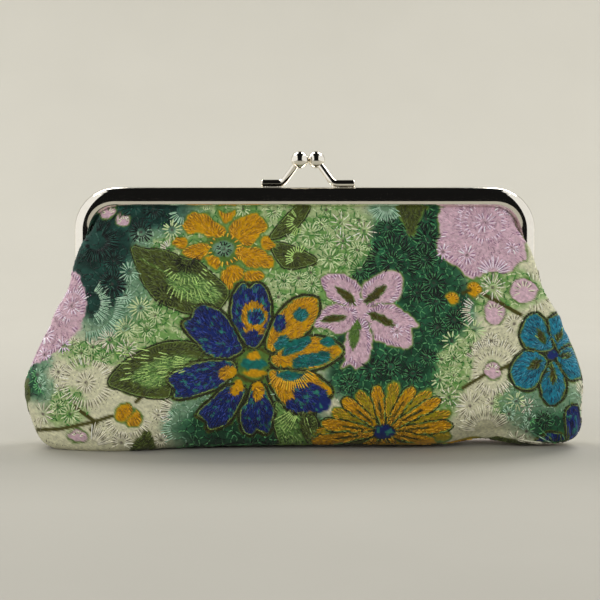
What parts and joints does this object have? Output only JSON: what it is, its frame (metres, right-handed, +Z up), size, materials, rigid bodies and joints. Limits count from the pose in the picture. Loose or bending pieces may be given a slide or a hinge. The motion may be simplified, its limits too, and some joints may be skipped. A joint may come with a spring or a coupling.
{
  "type": "kiss-lock coin purse",
  "caption": "Wide embroidered cloth purse with a rounded soft pouch, crimped into a hinged polished metal frame that closes with a crossing ball clasp.",
  "frame": {"origin": "on the table under the middle of the purse's bounds", "axes": "+X along the frame's top bar to the right as seen from the front, +Y from front to back, +Z up"},
  "size_m": [0.2322, 0.0496, 0.1226],
  "materials": {
    "embroidery_front": "printed floral cloth with raised embroidery",
    "embroidery_back": "printed floral cloth with raised embroidery",
    "frame_metal": "polished nickel plate",
    "clasp_metal": "polished nickel plate"
  },
  "bodies": {
    "root": {"panel_front": "embroidery_front", "panel_back": "embroidery_back", "frame_front": "frame_metal", "frame_back": "frame_metal", "clasp_front": "clasp_metal", "clasp_back": "clasp_metal", "hinge_rivet_left": "frame_metal", "hinge_rivet_right": "frame_metal"}
  },
  "joints": []
}
